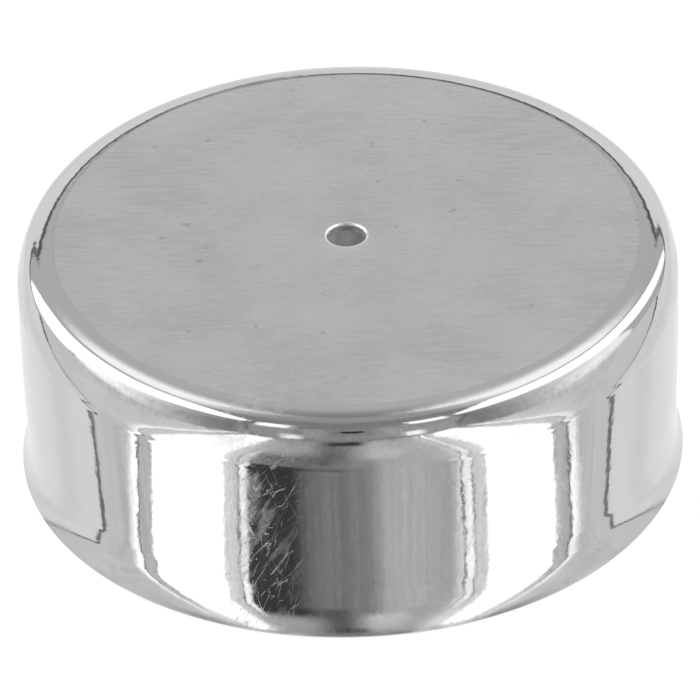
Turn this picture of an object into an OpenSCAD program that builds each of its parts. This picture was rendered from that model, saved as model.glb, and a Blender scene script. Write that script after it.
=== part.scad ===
// Salt shaker lid: one cap drawn from thin sheet, with a pour hole pierced in its top.
// Origin: centre of the mouth, in the plane of the rim it stands on. +Z: up, through the pour hole.
// Every size is in millimetres. The lid is its own section, turned once round the Z axis.

/* [Sheet] */
// Thickness of the drawn sheet, the same all over
sheet = 0.5; // [0.3:0.05:0.7]

/* [Top] */
// Overall height, from the rim to the crest of the top
lid_h = 15.6; // [14.5:0.1:24]
// Outside radius of the very shallow crown that the top is pressed to
crown_r = 900; // [300:50:1500]
// Outside radius of the soft brow in which the top begins to turn down
brow_r = 3.5; // [3:0.5:10]
// Slope of the top where the brow runs into the tighter shoulder, in degrees
brow_slope = 15; // [8:1:25]
// Outside radius of the rounded shoulder between the brow and the wall
shoulder_r = 1.2; // [0.9:0.05:2]

/* [Pour hole] */
// Diameter of the pour hole
pour_d = 2.35; // [1.5:0.05:4]
// Radius of the edge that the punch rolls over on the outside of the pour hole
pour_roll_r = 0.16; // [0.05:0.01:0.25]

/* [Wall] */
// Diameter inside the grip band, the narrowest part, which pushes over the jar's neck
grip_in_d = 38.8; // [30:0.1:50]
// Height of the grip band, a straight cylinder
grip_h = 1; // [0.6:0.1:4]
// Height of the flare, from the rim to the foot of the grip band
flare_h = 2; // [1.6:0.1:5]
// How far the mouth flares out beyond the grip band, on the radius
flare_out = 0.4; // [0.1:0.05:0.8]
// Radius of the hollow round in which the wall leaves the grip band for the belly
waist_r = 7; // [3:0.5:12]
// Drop from the crest to the belly, the ring where the wall is fullest before it turns in
belly_drop = 3.1; // [2.6:0.1:5]
// How far the belly stands out beyond the grip band, on the radius
belly_out = 0.22; // [0.1:0.02:0.6]
// How far the shoulder stands in from the belly, on the radius
shoulder_in = 0.36; // [0.1:0.02:0.6]
// Width and height of the small bevel on the outer edge of the rim
rim_bevel = 0.12; // [0.05:0.01:0.2]

/* [Hidden] */
$fn = 180;

// straight steps that each round of the section is drawn with
flare_steps = 6;
waist_steps = 3;
belly_steps = 6;
neck_steps = 6;
shoulder_steps = 10;
brow_steps = 4;
crown_steps = 10;
roll_steps = 6;

// the crown's centre lies on the axis, far below the lid
crown_z = lid_h - crown_r;

// the grip band, and the flare that leaves it smoothly and reaches flare_out at the rim
grip_x = grip_in_d / 2 + sheet;
grip_top_z = flare_h + grip_h;
mouth_x = grip_x + flare_out;
flare_r = sagitta_radius(flare_out, flare_h);

// the belly's round swells the wall out: it touches the waist's round and ends upright
belly_x = grip_x + belly_out;
belly_z = lid_h - belly_drop;
belly_rise = belly_z - grip_top_z;
belly_r = sagitta_radius(belly_out, belly_rise) - waist_r;
belly_lean = asin(belly_rise / (belly_r + waist_r));

// the brow's round touches the crown from below, and the shoulder's round touches the brow's
shoulder_x = belly_x - shoulder_in - shoulder_r;
shoulder_end = 90 - brow_slope;
brow_x = shoulder_x - (brow_r - shoulder_r) * sin(brow_slope);
brow_z = centre_under_crown(brow_x, brow_r);
brow_end = angle_on_crown(brow_x, brow_z);
shoulder_z = brow_z + (brow_r - shoulder_r) * cos(brow_slope);

// the neck's round leaves the belly upright and runs smoothly into the shoulder's round
neck_rise = shoulder_z - belly_z;
neck_in = shoulder_in + shoulder_r;
neck_r = (pow(neck_in, 2) + pow(neck_rise, 2) - pow(shoulder_r, 2)) / (2 * shoulder_in);
neck_end = asin(neck_rise / (neck_r - shoulder_r));

// the pour hole's rolled edge also touches the crown from below
pour_x = pour_d / 2;
roll_x = pour_x + pour_roll_r;
roll_z = centre_under_crown(roll_x, pour_roll_r);
roll_start = angle_on_crown(roll_x, roll_z);

// radius of a round that moves the wall sideways by step while it turns upright over rise
function sagitta_radius(step, rise) = (pow(step, 2) + pow(rise, 2)) / (2 * step);

// height of the centre of a round of radius r that lies x from the axis and touches the crown from below
function centre_under_crown(x, r) = crown_z + sqrt(pow(crown_r - r, 2) - pow(x, 2));

// direction of a point as seen from the crown's centre
function angle_on_crown(x, z) = atan2(z - crown_z, x);

// points along a round, from one angle to another; skip = 1 leaves out the first, where two rounds join
function round_points(centre, r, from, to, steps, skip = 0) = [
    for (i = [skip:steps])
        let (angle = from + (to - from) * i / steps)
            centre + r * [cos(angle), sin(angle)]
];

// the flare, from a given height up to the grip band
function flare_points(depth, foot_z) = round_points(
    [grip_x + flare_r, flare_h],
    flare_r + depth,
    180 + asin((flare_h - foot_z) / (flare_r + depth)),
    180,
    flare_steps
);

// the hollow round above the grip band
function waist_points(depth) = round_points(
    [grip_x + waist_r, grip_top_z],
    waist_r + depth,
    180,
    180 - belly_lean,
    waist_steps
);

// the belly's round, from the hollow one up to where the wall is upright again
function belly_points(depth) = round_points(
    [belly_x - belly_r, belly_z],
    belly_r - depth,
    -belly_lean,
    0,
    belly_steps,
    skip = 1
);

// the neck's round, from the belly up to the shoulder
function neck_points(depth) = round_points(
    [belly_x - neck_r, belly_z],
    neck_r - depth,
    0,
    neck_end,
    neck_steps,
    skip = 1
);

// the shoulder's round, from the neck to the brow
function shoulder_points(depth) = round_points(
    [shoulder_x, shoulder_z],
    shoulder_r - depth,
    neck_end,
    shoulder_end,
    shoulder_steps,
    skip = 1
);

// the brow's round, from the shoulder in to the crown
function brow_points(depth) = round_points(
    [brow_x, brow_z],
    brow_r - depth,
    shoulder_end,
    brow_end,
    brow_steps,
    skip = 1
);

// the crown, from the brow in to the given angle beside the pour hole
function crown_points(depth, end) = round_points(
    [0, crown_z],
    crown_r - depth,
    brow_end,
    end,
    crown_steps,
    skip = 1
);

// the rolled edge of the pour hole, from the crown down to the hole's own wall
function roll_points() = round_points(
    [roll_x, roll_z],
    pour_roll_r,
    roll_start,
    180,
    roll_steps,
    skip = 1
);

// the sheet's outer skin, from the rim up the wall and across the top to the pour hole
function outer_skin() = concat(
    [[mouth_x - rim_bevel, 0]],
    flare_points(0, rim_bevel),
    waist_points(0),
    belly_points(0),
    neck_points(0),
    shoulder_points(0),
    brow_points(0),
    crown_points(0, roll_start),
    roll_points()
);

// the sheet's inner skin, one thickness under the outer one, along the same way
function inner_skin() = concat(
    flare_points(sheet, 0),
    waist_points(sheet),
    belly_points(sheet),
    neck_points(sheet),
    shoulder_points(sheet),
    brow_points(sheet),
    crown_points(sheet, acos(pour_x / (crown_r - sheet)))
);

function backwards(points) = [for (i = [len(points) - 1:-1:0]) points[i]];

// half of the lid's section, on the +X side of the axis
module sheet_section() {
    polygon(concat(outer_skin(), backwards(inner_skin())));
}

module lid() {
    color("lightgray")
        rotate_extrude()
            sheet_section();
}

lid();
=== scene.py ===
"""Dresses the salt shaker lid: a polished and satin steel cap on a pale floor, in a white light tent."""

import math

import bmesh
import bpy
from mathutils import Matrix, Vector


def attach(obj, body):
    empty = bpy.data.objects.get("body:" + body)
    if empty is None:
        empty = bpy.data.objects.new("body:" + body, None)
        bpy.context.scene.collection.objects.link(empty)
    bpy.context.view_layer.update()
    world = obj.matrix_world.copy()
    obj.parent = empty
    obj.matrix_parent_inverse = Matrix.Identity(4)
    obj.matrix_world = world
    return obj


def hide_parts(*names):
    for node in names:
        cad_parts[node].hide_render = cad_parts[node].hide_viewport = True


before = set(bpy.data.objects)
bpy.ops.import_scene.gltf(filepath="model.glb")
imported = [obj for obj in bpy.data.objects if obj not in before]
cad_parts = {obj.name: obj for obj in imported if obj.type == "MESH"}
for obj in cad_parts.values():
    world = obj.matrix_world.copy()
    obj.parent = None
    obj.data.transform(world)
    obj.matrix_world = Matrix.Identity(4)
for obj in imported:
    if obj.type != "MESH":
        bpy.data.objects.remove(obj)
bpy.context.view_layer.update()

MM = 0.001

# sizes of the lid's section, in millimetres
SHEET = 0.5
LID_HEIGHT = 15.6
CROWN_ROUND = 900.0
BROW_ROUND = 3.5
BROW_SLOPE = math.radians(15.0)
SHOULDER_ROUND = 1.2
POUR_HOLE = 2.35
POUR_EDGE_ROUND = 0.16
GRIP_INSIDE = 38.8
GRIP_HEIGHT = 1.0
FLARE_HEIGHT = 2.0
FLARE_OUT = 0.4
WAIST_ROUND = 7.0
BELLY_DROP = 3.1
BELLY_OUT = 0.22
SHOULDER_IN = 0.36
RIM_BEVEL = 0.12

# how finely the lid is turned
TURN_STEPS = 480
WEDGES = 16

# camera: a long lens, looking down at the crest of the lid
CAMERA_AWAY = 0.8
CAMERA_ABOVE = math.radians(34.153)
CAMERA_DIP = math.radians(0.502)
CAMERA_ROLL = math.radians(-1.726)
LENS = 677.33
SENSOR = 36.0


# ---------------------------------------------------------------- the section's rounds


def sideways_round(step, rise):
    """Radius of a round that moves the wall sideways by step while it turns upright over rise."""
    return (step**2 + rise**2) / (2 * step)


GRIP_X = GRIP_INSIDE / 2 + SHEET
GRIP_TOP = FLARE_HEIGHT + GRIP_HEIGHT
MOUTH_X = GRIP_X + FLARE_OUT
FLARE_ROUND = sideways_round(FLARE_OUT, FLARE_HEIGHT)
BELLY_X = GRIP_X + BELLY_OUT
BELLY_Z = LID_HEIGHT - BELLY_DROP
BELLY_RISE = BELLY_Z - GRIP_TOP
BELLY_ROUND = sideways_round(BELLY_OUT, BELLY_RISE) - WAIST_ROUND
BELLY_LEAN = math.asin(BELLY_RISE / (BELLY_ROUND + WAIST_ROUND))
CROWN_Z = LID_HEIGHT - CROWN_ROUND
SHOULDER_X = BELLY_X - SHOULDER_IN - SHOULDER_ROUND
SHOULDER_END = math.pi / 2 - BROW_SLOPE
BROW_X = SHOULDER_X - (BROW_ROUND - SHOULDER_ROUND) * math.sin(BROW_SLOPE)
BROW_Z = CROWN_Z + math.sqrt((CROWN_ROUND - BROW_ROUND) ** 2 - BROW_X**2)
BROW_END = math.atan2(BROW_Z - CROWN_Z, BROW_X)
SHOULDER_Z = BROW_Z + (BROW_ROUND - SHOULDER_ROUND) * math.cos(BROW_SLOPE)
NECK_RISE = SHOULDER_Z - BELLY_Z
NECK_IN = SHOULDER_IN + SHOULDER_ROUND
NECK_ROUND = (NECK_IN**2 + NECK_RISE**2 - SHOULDER_ROUND**2) / (2 * SHOULDER_IN)
NECK_END = math.asin(NECK_RISE / (NECK_ROUND - SHOULDER_ROUND))
HOLE_X = POUR_HOLE / 2
EDGE_X = HOLE_X + POUR_EDGE_ROUND
EDGE_Z = CROWN_Z + math.sqrt((CROWN_ROUND - POUR_EDGE_ROUND) ** 2 - EDGE_X**2)
EDGE_START = math.atan2(EDGE_Z - CROWN_Z, EDGE_X)


# ---------------------------------------------------------------- drawing the section


def line_to(bm, tip, x, z):
    """Draws a straight stretch of the section from its tip."""
    tip = bmesh.ops.extrude_vert_indiv(bm, verts=[tip])["verts"][0]
    tip.co = (x * MM, 0, z * MM)
    return tip


def round_to(bm, tip, centre, turn, steps):
    """Sweeps the section's tip round a centre, anticlockwise for a positive turn."""
    swept = bmesh.ops.spin(
        bm,
        geom=[tip],
        cent=(centre[0] * MM, 0, centre[1] * MM),
        axis=(0, -1, 0),
        angle=turn,
        steps=steps,
        use_merge=False,
        use_duplicate=False,
    )
    return [g for g in swept["geom_last"] if isinstance(g, bmesh.types.BMVert)][0]


def skin_up(bm, tip, depth, foot):
    """Draws one skin of the wall and top from the flare's foot to the crown, depth under the outer skin."""
    flare_start = math.asin((FLARE_HEIGHT - foot) / (FLARE_ROUND + depth))
    tip = line_to(
        bm,
        tip,
        GRIP_X + FLARE_ROUND - (FLARE_ROUND + depth) * math.cos(flare_start),
        foot,
    )
    tip = round_to(bm, tip, (GRIP_X + FLARE_ROUND, FLARE_HEIGHT), -flare_start, 14)
    tip = line_to(bm, tip, GRIP_X - depth, GRIP_TOP)
    tip = round_to(bm, tip, (GRIP_X + WAIST_ROUND, GRIP_TOP), -BELLY_LEAN, 4)
    tip = round_to(bm, tip, (BELLY_X - BELLY_ROUND, BELLY_Z), BELLY_LEAN, 12)
    tip = round_to(bm, tip, (BELLY_X - NECK_ROUND, BELLY_Z), NECK_END, 12)
    tip = round_to(bm, tip, (SHOULDER_X, SHOULDER_Z), SHOULDER_END - NECK_END, 24)
    tip = round_to(bm, tip, (BROW_X, BROW_Z), BROW_END - SHOULDER_END, 8)
    return tip


def lid_section(bm):
    """Draws the sheet's closed section on the +X side: up the outer skin, and up the inner one."""
    rim = bm.verts.new(((MOUTH_X - RIM_BEVEL) * MM, 0, 0))
    tip = skin_up(bm, rim, 0, RIM_BEVEL)
    tip = round_to(bm, tip, (0, CROWN_Z), EDGE_START - BROW_END, 12)
    hole_top = round_to(bm, tip, (EDGE_X, EDGE_Z), math.pi - EDGE_START, 6)
    inner_foot = skin_up(bm, rim, SHEET, 0)
    hole_foot = math.acos(HOLE_X / (CROWN_ROUND - SHEET))
    tip = round_to(bm, inner_foot, (0, CROWN_Z), hole_foot - BROW_END, 8)
    bm.edges.new((tip, hole_top))


def turned(bm, angle, steps, duplicate):
    """Turns all that is drawn round the axis: as a surface, or as copies of itself."""
    bmesh.ops.spin(
        bm,
        geom=bm.verts[:] + bm.edges[:] + bm.faces[:],
        cent=(0, 0, 0),
        axis=(0, 0, 1),
        angle=angle,
        steps=steps,
        use_merge=False,
        use_duplicate=duplicate,
    )


def lid_shell():
    """Turns the section into one wedge of the lid, and the wedge into the whole."""
    bm = bmesh.new()
    lid_section(bm)
    turned(bm, math.tau / WEDGES, TURN_STEPS // WEDGES, False)
    turned(bm, math.tau * (1 - 1 / WEDGES), WEDGES - 1, True)
    bmesh.ops.remove_doubles(bm, verts=bm.verts, dist=0.001 * MM)
    bmesh.ops.recalc_face_normals(bm, faces=bm.faces)
    for face in bm.faces:
        face.smooth = True
    for edge in bm.edges:
        edge.smooth = edge.calc_face_angle(0) < math.radians(30)
    return finished(bm, "steel_lid")


def finished(bm, name):
    """Makes the worked mesh an object at the origin."""
    mesh = bpy.data.meshes.new(name)
    bm.to_mesh(mesh)
    bm.free()
    piece = bpy.data.objects.new(name, mesh)
    bpy.context.scene.collection.objects.link(piece)
    return piece


# ---------------------------------------------------------------- node helpers


class Nodes:
    """A short hand for a node tree: each call adds one node, sets its inputs and gives its output."""

    def __init__(self, tree):
        self.tree = tree
        tree.nodes.clear()

    def add(self, kind, inputs=(), out=0, **settings):
        node = self.tree.nodes.new(kind)
        for name, value in settings.items():
            setattr(node, name, value)
        for socket, value in dict(inputs).items():
            if isinstance(value, bpy.types.NodeSocket):
                self.tree.links.new(value, node.inputs[socket])
            else:
                node.inputs[socket].default_value = value
        return None if out is None else node.outputs[out]

    def math(self, operation, a, b=0.0, c=0.0, clamp=False):
        return self.add(
            "ShaderNodeMath", {0: a, 1: b, 2: c}, operation=operation, use_clamp=clamp
        )

    def ease(self, value, low, high, start=0.0, end=1.0):
        """Goes smoothly from start to end while value goes from low to high."""
        return self.add(
            "ShaderNodeMapRange",
            {
                "Value": value,
                "From Min": low,
                "From Max": high,
                "To Min": start,
                "To Max": end,
            },
            interpolation_type="SMOOTHSTEP",
        )

    def between(self, value, low, high, soft):
        """1 between low and high, and 0 outside them, with edges as wide as soft."""
        rise = self.ease(value, low - soft / 2, low + soft / 2)
        fall = self.ease(value, high - soft / 2, high + soft / 2, 1.0, 0.0)
        return self.math("MULTIPLY", rise, fall)

    def mix(self, factor, a, b):
        """Mixes two numbers."""
        return self.add("ShaderNodeMix", {0: factor, 2: a, 3: b}, data_type="FLOAT")

    def noise(self, place, scale, detail=2.0, roughness=0.5, distortion=0.0):
        return self.add(
            "ShaderNodeTexNoise",
            {
                "Vector": place,
                "Scale": scale,
                "Detail": detail,
                "Roughness": roughness,
                "Distortion": distortion,
            },
        )


# ---------------------------------------------------------------- the light tent

# Places in the tent are given in degrees, as seen from the lid: round it from the front, where + is
# to the right, and up from the horizon.

# what stands below the lid's eye level: from and to, the softness of the edges, and the level
LOW_INNER_CARDS = (
    (-45, -39, 1.2, 0.84),
    (-39.9, -38.8, 0.8, 0.14),
    (-39.0, -36.6, 0.6, 1.35),
    (-36.6, -14, 1.6, 0.06),
    (-17, 1, 10.0, 0.13),
    (-2, 13, 10.0, 0.26),
    (8, 37, 10.0, 0.57),
    (36.4, 37.4, 0.8, 0.12),
    (37.3, 40.6, 0.6, 1.35),
    (40.2, 41.2, 0.8, 0.18),
    (41.0, 45.5, 1.2, 0.80),
)
LOW_OUTER_CARDS = (
    (-82, -76, 5.0, 1.70),
    (-79.0, -77.8, 0.8, 0.20),
    (-78.0, -72.5, 1.2, 0.66),
    (-72.5, -30, 1.0, 1.90),
    (30, 72, 1.0, 1.90),
    (76, 82, 5.0, 1.70),
    (72, 78.2, 1.2, 0.66),
    (77.8, 79.0, 0.8, 0.22),
)

# what stands low at the front: the heights of its foot and top, its sides at the foot and at the top,
# the softness of its sides and of its foot and top, and the level
LOW_FRONT_CARDS = (
    (-20, 20, -34, -12, -19, -8, 9.0, 12.0, 0.48),
    (-24, -3, 3, 17, 2, 13, 8.0, 10.0, 0.78),
    (-46, -33.0, -18, -3, -18, -3, 10.0, 8.0, 0.27),
    (-4.0, 1.5, -8, 2.5, -8, 2.5, 5.0, 2.5, 0.05),
)

# the backdrop behind the lid: from and to on its left and on its right, softness and level
BACKDROP_CARDS = (
    (103, 250, 1.5, 0.93),
    (118, 130, 10.0, 0.85),
    (102.2, 104.4, 1.2, 0.20),
)
BACKDROP_TOP = 30.6

# a dark clamp at the backdrop's top: from and to round the lid
CLAMP = (-179.3, -178.0)

# what hangs at the front above eye level, in the same way
FRONT_CARDS = (
    (2, 70, -40, 36, -42, 44, 4.0, 10.0, 0.31),
    (4, 36, -37, -19, -37, -19, 3.0, 6.0, 0.43),
    (4, 40, 18, 36, 17, 38, 3.0, 6.0, 0.43),
    (6, 34, -17, 17, -17, 17, 3.0, 8.0, 0.43),
    (6, 60, -9, 9, -7, 7, 8.0, 14.0, 0.30),
    (31, 48, -34, -23, -37, -24, 4.0, 7.0, 1.60),
    (37, 51, 22, 35, 21, 38, 3.0, 5.0, 1.60),
    (6, 52, -35, -33.5, -40, -38.5, 1.2, 8.0, 0.14),
    (6, 52, 34, 35.5, 43, 44.5, 1.2, 8.0, 0.14),
    (4.5, 10, -23, -16.5, -23, -16.5, 4.0, 3.0, 1.30),
    (4.5, 10, 17, 23, 17, 23, 4.0, 3.0, 1.30),
    (14, 23.5, -4.3, 3.8, -4.3, 3.8, 1.2, 2.0, 0.04),
)

# The soft box on each side is bounded by a crest and a lower edge. Each is an arch: its greatest height,
# how far round the lid that is, and how fast it falls away from there. A second lamp hangs behind it.
SOFT_BOXES = (
    {
        "side": -1.0,
        "crest": (60.0, 80.0, 0.0086),
        "lower": (39.0, 42.0, 0.0102),
        "far": 136.0,
        "veil": (102.0, 0.25, 1.50),
        "lamp": (69.0, 89.0, 0.0098),
        "lamp_far": 164.0,
    },
    {
        "side": 1.0,
        "crest": (66.0, 88.0, 0.0082),
        "lower": (43.0, 42.0, 0.0040),
        "far": 142.0,
        "veil": (106.0, 0.25, 1.25),
        "lamp": (75.0, 97.0, 0.0118),
        "lamp_far": 169.0,
    },
)
BOX_NEAR = 41.0
BOX_LEVEL = 1.9
LAMP_FOOT = 43.0
LAMP_TOP = 67.0
LAMP_SOFT = 11.0
LAMP_NEAR = (62.0, 100.0)
LAMP_FAR_SOFT = 8.0
LAMP_LEVEL = 1.35

# levels of the tent's plain cloth: low down, high at the front and at the sides, and round the ridge
LOW_LEVEL = 0.78
HIGH_LEVELS = (0.31, 0.59)
RIDGE_LEVELS = (0.30, 0.80)
PEAK_LEVEL = 0.42

# how much the folds and the uneven tone of the cloth dim and brighten it
FOLDS = (0.86, 1.12)
CLOUDS = (0.90, 1.08)


def spread_by(n, around, height, foot, at_foot, top, at_top):
    """Leans the cards: how far round the lid they stand is multiplied by a factor of the height."""
    factor = n.add(
        "ShaderNodeMapRange",
        {
            "Value": height,
            "From Min": foot,
            "From Max": top,
            "To Min": at_foot,
            "To Max": at_top,
        },
        interpolation_type="LINEAR",
    )
    return n.math("DIVIDE", around, factor)


def leaning_card(n, around, height, foot, top, sides_at_foot, sides_at_top, soft, soft_up):
    """1 inside a card whose sides run straight from its foot to its top."""
    sides = []
    for at_foot, at_top in zip(sides_at_foot, sides_at_top):
        lean = (at_top - at_foot) / (top - foot)
        side = n.math("MULTIPLY_ADD", height, -lean, around)
        sides.append(n.math("SUBTRACT", side, at_foot - lean * foot))
    after = n.ease(sides[0], -soft / 2, soft / 2)
    before = n.ease(sides[1], -soft / 2, soft / 2, 1.0, 0.0)
    across = n.math("MULTIPLY", after, before)
    return n.math("MULTIPLY", across, n.between(height, foot, top, soft_up))


def over_arch(n, reach, height, arch):
    """How far the height lies over an arch."""
    top, middle, fall = arch
    off = n.math("SUBTRACT", reach, middle)
    sag = n.math("MULTIPLY", n.math("MULTIPLY", off, off), fall)
    return n.math("SUBTRACT", n.math("ADD", height, sag), top)


def soft_box(n, level, around, height, box):
    """Hangs a big soft box on one side, with a dimmer veil below it and a softer lamp behind."""
    reach = n.math("MULTIPLY", around, box["side"])
    under = n.ease(over_arch(n, reach, height, box["crest"]), -1.5, 1.5, 1.0, 0.0)
    over = n.ease(over_arch(n, reach, height, box["lower"]), -4.0, 4.0)
    veil_end, dim, bright = box["veil"]

    veil = n.math("MULTIPLY", n.between(reach, 40.0, veil_end, 3.0), under)
    veil = n.math("MULTIPLY", veil, n.ease(height, -7.0, 1.0))
    level = n.mix(veil, level, n.ease(reach, 36.0, 98.0, dim, bright))

    white = n.math("MULTIPLY", n.between(reach, BOX_NEAR, box["far"], 2.5), under)
    white = n.math("MULTIPLY", white, n.math("MULTIPLY", over, n.ease(height, -7.0, -2.0)))
    level = n.mix(white, level, BOX_LEVEL)

    beyond = n.ease(over_arch(n, reach, height, box["lamp"]), -2.0, 3.0)
    lamp = n.math("MULTIPLY", n.between(height, LAMP_FOOT, LAMP_TOP, LAMP_SOFT), beyond)
    lamp = n.math("MULTIPLY", lamp, n.ease(reach, *LAMP_NEAR))
    far = box["lamp_far"]
    ends = n.ease(reach, far - LAMP_FAR_SOFT, far + LAMP_FAR_SOFT, 1.0, 0.0)
    lamp = n.math("MULTIPLY", lamp, ends)
    return n.mix(lamp, level, LAMP_LEVEL)


def light_tent():
    """Lights the lid with a pale tent that is open at the front, with bright cards beside the opening."""
    world = bpy.data.worlds.new("light_tent")
    bpy.context.scene.world = world
    world.use_nodes = True
    n = Nodes(world.node_tree)
    ray = n.add("ShaderNodeTexCoord", out="Generated")
    split = n.add("ShaderNodeSeparateXYZ", {0: ray}).node
    x, y, z = split.outputs
    round_lid = n.math("ARCTAN2", x, n.math("MULTIPLY", y, -1.0))
    around = n.math("MULTIPLY", round_lid, math.degrees(1))
    height = n.math("MULTIPLY", n.math("ARCSINE", z), math.degrees(1))
    reach = n.math("ABSOLUTE", around)

    # the low cards lean together towards the top
    low = LOW_LEVEL
    spread = spread_by(n, around, height, -60.0, 1.40, 2.0, 0.47)
    for start, end, soft, level in LOW_OUTER_CARDS:
        low = n.mix(n.between(spread, start, end, soft), low, level)
    spread = spread_by(n, around, height, -60.0, 1.35, 0.0, 0.57)
    for start, end, soft, level in LOW_INNER_CARDS:
        low = n.mix(n.between(spread, start, end, soft), low, level)

    for foot, top, a, b, c, d, soft, soft_up, level in LOW_FRONT_CARDS:
        card = leaning_card(n, around, height, foot, top, (a, b), (c, d), soft, soft_up)
        low = n.mix(card, low, level)

    # above them hang the front cards and the two soft boxes
    high = n.mix(n.ease(reach, 42.0, 70.0), *HIGH_LEVELS)
    ridge = n.mix(n.between(reach, 84.0, 158.0, 40.0), *RIDGE_LEVELS)
    ridge = n.mix(n.ease(height, 66.0, 80.0), ridge, PEAK_LEVEL)
    high = n.mix(n.ease(height, 42.0, 66.0), high, ridge)
    for foot, top, a, b, c, d, soft, soft_up, level in FRONT_CARDS:
        card = leaning_card(n, around, height, foot, top, (a, b), (c, d), soft, soft_up)
        high = n.mix(card, high, level)
    for box in SOFT_BOXES:
        high = soft_box(n, high, around, height, box)
    over = n.math("SUBTRACT", height, n.ease(reach, 32.0, 60.0, 2.5, -4.0))
    level = n.mix(n.ease(over, -1.5, 1.5), low, high)

    # the backdrop's sides lean apart
    aside = spread_by(n, reach, height, -36.0, 1.0, 30.0, 1.55)
    under_top = n.ease(height, BACKDROP_TOP - 0.8, BACKDROP_TOP + 0.8, 1.0, 0.0)
    for start, end, soft, shade in BACKDROP_CARDS:
        card = n.math("MULTIPLY", n.between(aside, start, end, soft), under_top)
        level = n.mix(card, level, shade)
    edge = n.between(height, BACKDROP_TOP - 1.0, BACKDROP_TOP + 1.0, 1.0)
    edge = n.math("MULTIPLY", edge, n.ease(reach, 158.0, 162.0))
    level = n.mix(edge, level, 0.12)
    clamp = n.math("MULTIPLY", n.between(around, *CLAMP, 0.8), n.between(height, 25, 34, 2))
    level = n.mix(clamp, level, 0.4)

    # the cloths hang in fine folds, and their tone is a little uneven
    along = n.add("ShaderNodeCombineXYZ", {0: around, 1: n.math("MULTIPLY", height, 0.12)})
    folds = n.ease(n.noise(along, 0.8, 3.0, 0.6), 0.3, 0.7, *FOLDS)
    clouds = n.ease(n.noise(ray, 3.0, 2.0), 0.3, 0.7, *CLOUDS)
    front = n.ease(reach, 90.0, 104.0, 1.0, 0.0)
    level = n.math("MULTIPLY", level, n.mix(front, 1.0, n.math("MULTIPLY", folds, clouds)))

    shine = n.add("ShaderNodeBackground", {"Color": (1, 1, 1, 1), "Strength": level})
    n.add("ShaderNodeOutputWorld", {"Surface": shine}, out=None)


# ---------------------------------------------------------------- floor


def floor():
    """A pale floor that keeps the lid's soft shadow, with a painted shadow under the lid where its glow is
    dimmed.
    """
    bm = bmesh.new()
    bmesh.ops.create_grid(bm, x_segments=1, y_segments=1, size=6.0)
    ground = finished(bm, "floor")
    ground.visible_glossy = False
    material = bpy.data.materials.new("pale_floor")
    material.use_nodes = True
    n = Nodes(material.node_tree)
    place = n.add("ShaderNodeTexCoord", out="Object")
    away = n.add("ShaderNodeVectorMath", {0: place}, out="Value", operation="LENGTH")
    # painted shadow: the floor's glow is dimmed in a disc under the lid
    under = n.ease(away, 18.5 * MM, 20.2 * MM, 0.2, 0.74)
    path = n.add("ShaderNodeLightPath").node
    seen = n.math(
        "ADD", path.outputs["Is Camera Ray"], path.outputs["Is Glossy Ray"], clamp=True
    )
    seen = n.math("ADD", seen, path.outputs["Is Transmission Ray"], clamp=True)
    matt = n.add("ShaderNodeBsdfDiffuse", {"Color": (0.42, 0.42, 0.42, 1)})
    glow_with_painted_shadow = n.add(
        "ShaderNodeEmission",
        {"Color": (1, 1, 1, 1), "Strength": n.math("MULTIPLY", under, seen)},
    )
    lit = n.add("ShaderNodeAddShader", {0: matt, 1: glow_with_painted_shadow})
    below = n.add("ShaderNodeNewGeometry", out="Backfacing")
    clear = n.add("ShaderNodeBsdfTransparent")
    n.add(
        "ShaderNodeOutputMaterial",
        {"Surface": n.add("ShaderNodeMixShader", {0: below, 1: lit, 2: clear})},
        out=None,
    )
    ground.data.materials.append(material)


# ---------------------------------------------------------------- steel

STEEL_COLOUR = (0.66, 0.66, 0.65, 1)

# lowest and highest roughness of the satin top and of the polished wall
SATIN = (0.24, 0.30)
POLISH = (0.03, 0.055)

# roughness of rub marks and haze, of the punched wall of the pour hole, and what the flare's smudge adds
MARK_ROUGHNESS = 0.55
CUT_ROUGHNESS = 0.45
SMUDGE = 0.11

# rub marks: the tilt of each family in degrees, its scale, how thin its lines are and where they begin
RUB_MARKS = (
    (-58, 1300.0, 0.011, 0.42),
    (-76, 1100.0, 0.009, 0.48),
    (-36, 1500.0, 0.009, 0.48),
    (68, 1200.0, 0.009, 0.48),
    (-66, 2100.0, 0.009, 0.48),
)
RUB_DRAWN_OUT = 14.0
RUB_SHARE = 0.75

# heights between which the neck is hazy, and the crease that the press left under it
HAZE_FOOT = 12.35
HAZE_TOP = 13.9
CREASE_HEIGHT = 12.1
CREASE_WIDTH = 0.25
CREASE_DEPTH = 0.005

# tones of the pour hole's rolled edge and of its own wall, beside that of the sheet: a painted highlight on
# the edge and painted shade on the wall
PAINTED_HIGHLIGHT_TONE = 1.35
PAINTED_SHADE_TONE = 0.45


def turned_place(n, place, tilt, stretch):
    """Object coordinates tilted about Y and drawn out along the new X."""
    return n.add(
        "ShaderNodeMapping",
        {"Vector": place, "Rotation": (0, math.radians(tilt), 0), "Scale": (stretch, 1, 1)},
        vector_type="TEXTURE",
    )


def hair_scratches(n, place, scale, thin, where):
    """Hair-thin curved scratches along the level lines of a noise, only where a second noise is high."""
    field = n.noise(place, scale, 1.5, 0.45, 0.6)
    near = n.math("ABSOLUTE", n.math("SUBTRACT", field, 0.5))
    line = n.ease(near, thin * 0.4, thin, 1.0, 0.0)
    patchy = n.ease(n.noise(place, scale * 2.3, 1.0), where, where + 0.1)
    return n.math("MULTIPLY", line, patchy)


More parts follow.
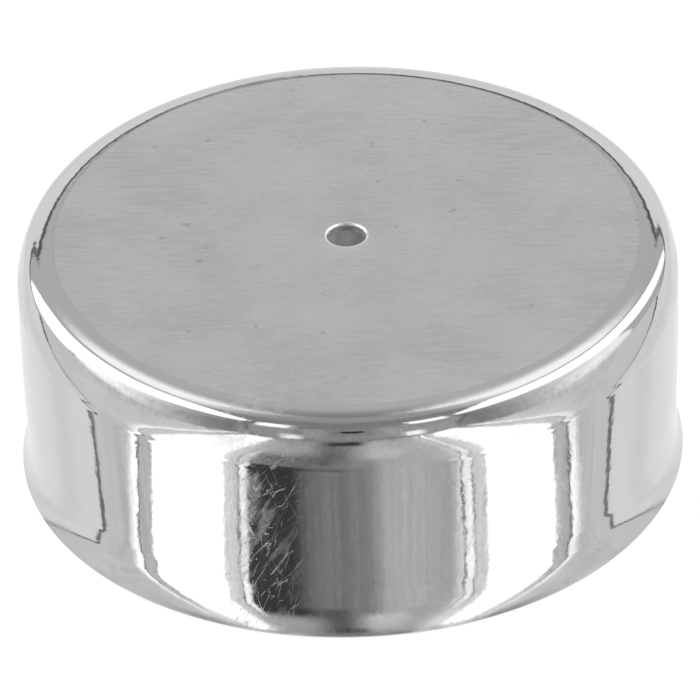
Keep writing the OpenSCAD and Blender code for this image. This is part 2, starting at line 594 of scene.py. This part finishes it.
def steel():
    """Stainless sheet: satin top inside the brow, polished bright on the shoulder and wall."""
    material = bpy.data.materials.new("stainless_sheet")
    material.use_nodes = True
    n = Nodes(material.node_tree)
    place = n.add("ShaderNodeTexCoord", out="Object")
    split = n.add("ShaderNodeSeparateXYZ", {0: place}).node
    x, y, z = split.outputs
    flat = n.add("ShaderNodeCombineXYZ", {0: x, 1: y})
    out = n.add("ShaderNodeVectorMath", {0: flat}, out="Value", operation="LENGTH")
    up_high = n.ease(z, (LID_HEIGHT - 1.0) * MM, (LID_HEIGHT - 0.9) * MM)
    inside = n.ease(out, (BROW_X - 0.25) * MM, (BROW_X + 0.05) * MM, 1.0, 0.0)
    top = n.math("MULTIPLY", inside, up_high)

    # the punch left the pour hole's own wall dull, and the wall is darkened with painted shade; its rolled
    # edge carries a painted highlight
    dull_and_shaded_wall = n.math(
        "MULTIPLY",
        n.ease(z, (EDGE_Z - 0.02) * MM, (EDGE_Z + 0.03) * MM, 1.0, 0.0),
        n.ease(out, (HOLE_X + 0.01) * MM, (HOLE_X + 0.04) * MM, 1.0, 0.0),
    )
    edge_painted_highlight = n.math(
        "MULTIPLY",
        n.ease(z, (EDGE_Z + 0.02) * MM, (EDGE_Z + 0.05) * MM),
        n.ease(out, EDGE_X * MM, (EDGE_X + 0.05) * MM, 1.0, 0.0),
    )

    # rub marks: fine hairs over the wall, thick at the front left
    hairs = 0.0
    for tilt, scale, thin, where in RUB_MARKS:
        drawn_out = turned_place(n, place, tilt, RUB_DRAWN_OUT)
        hairs = n.math("MAXIMUM", hairs, hair_scratches(n, drawn_out, scale, thin, where))
    left = n.ease(x, -9 * MM, -6.6 * MM, 0.04, 0.9)
    left = n.math("MULTIPLY", left, n.ease(x, -4.5 * MM, -1 * MM, 1.0, 0.3))
    front = n.ease(y, -16 * MM, -12 * MM, 1.0, 0.2)
    hairs = n.math("MULTIPLY", hairs, n.math("MULTIPLY", left, front))
    hairs = n.math("MULTIPLY", hairs, n.ease(z, 12.4 * MM, 14.6 * MM, 1.0, 0.1))
    rolled = n.noise(turned_place(n, place, 0, 8.0), 5200.0, 2.0, 0.6)
    specks = n.ease(n.noise(place, 1500.0, 0.0), 0.83, 0.86)

    # the neck is hazy, and so are smears among the rub marks: specks finer than the eye can part
    neck = n.between(z, HAZE_FOOT * MM, HAZE_TOP * MM, 0.25 * MM)
    cloud = n.ease(n.noise(place, 420.0, 2.0, 0.6), 0.35, 0.65, 0.4, 1.0)
    neck = n.math("MULTIPLY", neck, cloud)
    smear = n.noise(turned_place(n, place, -60, 4.0), 900.0, 3.0, 0.6)
    smear = n.math("MULTIPLY", n.ease(smear, 0.42, 0.68), n.math("MULTIPLY", left, front))
    dull = n.math("MAXIMUM", neck, n.math("MULTIPLY", smear, 0.8))
    dull = n.math("MULTIPLY", n.ease(n.noise(place, 60000.0, 0.0), 0.46, 0.60), dull)

    ripple = n.noise(place, 900.0, 3.0, 0.5)
    grain = n.noise(place, 9000.0, 3.0, 0.6)
    blotch = n.noise(place, 140.0, 4.0, 0.6)
    crease = n.between(
        z,
        (CREASE_HEIGHT - CREASE_WIDTH / 2) * MM,
        (CREASE_HEIGHT + CREASE_WIDTH / 2) * MM,
        0.24 * MM,
    )
    wall_bump = n.add(
        "ShaderNodeBump",
        {"Strength": 0.35, "Distance": 0.00002, "Height": ripple},
        out="Normal",
    )
    crease_bump = n.add(
        "ShaderNodeBump",
        {"Strength": 1.0, "Distance": CREASE_DEPTH * MM, "Height": crease, "Normal": wall_bump},
        out="Normal",
    )
    top_bump = n.add(
        "ShaderNodeBump",
        {
            "Strength": n.mix(top, 0.0, 0.6),
            "Distance": 0.00002,
            "Height": n.mix(0.5, grain, rolled),
            "Normal": crease_bump,
        },
        out="Normal",
    )
    satin = n.ease(blotch, 0.3, 0.7, *SATIN)
    polish = n.ease(blotch, 0.3, 0.7, *POLISH)
    rough = n.mix(top, polish, satin)
    smudge = n.ease(z, 0.8 * MM, FLARE_HEIGHT * MM, SMUDGE, 0.0)
    rough = n.math("ADD", rough, n.math("MULTIPLY", smudge, cloud))
    marks = n.math("MAXIMUM", n.math("MULTIPLY", hairs, RUB_SHARE), dull)
    rough = n.mix(marks, rough, MARK_ROUGHNESS)
    rough = n.mix(dull_and_shaded_wall, rough, CUT_ROUGHNESS)
    tone = n.ease(blotch, 0.25, 0.75, 0.98, 1.02)
    streaks = n.mix(top, 1.0, n.ease(rolled, 0.3, 0.7, 0.955, 1.035))
    tone = n.math("MULTIPLY", tone, streaks)
    # painted highlight on the pour hole's rolled edge, and painted shade on its own wall
    tone = n.math("MULTIPLY", tone, n.mix(edge_painted_highlight, 1.0, PAINTED_HIGHLIGHT_TONE))
    tone = n.math("MULTIPLY", tone, n.mix(dull_and_shaded_wall, 1.0, PAINTED_SHADE_TONE))
    tone = n.math("MULTIPLY", tone, n.mix(n.math("MULTIPLY", specks, top), 1.0, 0.8))
    colour = n.add(
        "ShaderNodeMix",
        {0: 1.0, 6: STEEL_COLOUR, 7: n.add("ShaderNodeCombineColor", {0: tone, 1: tone, 2: tone})},
        out=2,
        data_type="RGBA",
        blend_type="MULTIPLY",
    )
    sheet = n.add(
        "ShaderNodeBsdfPrincipled",
        {"Base Color": colour, "Metallic": 1.0, "Roughness": rough, "Normal": top_bump},
    )
    n.add("ShaderNodeOutputMaterial", {"Surface": sheet}, out=None)
    return material


# ---------------------------------------------------------------- camera


def camera():
    data = bpy.data.cameras.new("camera")
    data.lens = LENS
    data.sensor_width = SENSOR
    data.clip_start = 0.05
    data.clip_end = 20
    holder = bpy.data.objects.new("camera", data)
    bpy.context.scene.collection.objects.link(holder)
    stand = Vector(
        (
            0,
            -CAMERA_AWAY * math.cos(CAMERA_ABOVE),
            LID_HEIGHT * MM + CAMERA_AWAY * math.sin(CAMERA_ABOVE),
        )
    )
    tip = Matrix.Rotation(math.pi / 2 - CAMERA_ABOVE - CAMERA_DIP, 4, "X")
    roll = Matrix.Rotation(CAMERA_ROLL, 4, "Z")
    holder.matrix_world = Matrix.Translation(stand) @ tip @ roll
    bpy.context.scene.camera = holder


# ---------------------------------------------------------------- putting it together

lid = lid_shell()
lid.data.materials.append(steel())
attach(lid, "root")
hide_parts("lid")

floor()
light_tent()
camera()
bpy.context.scene.view_settings.view_transform = "Standard"
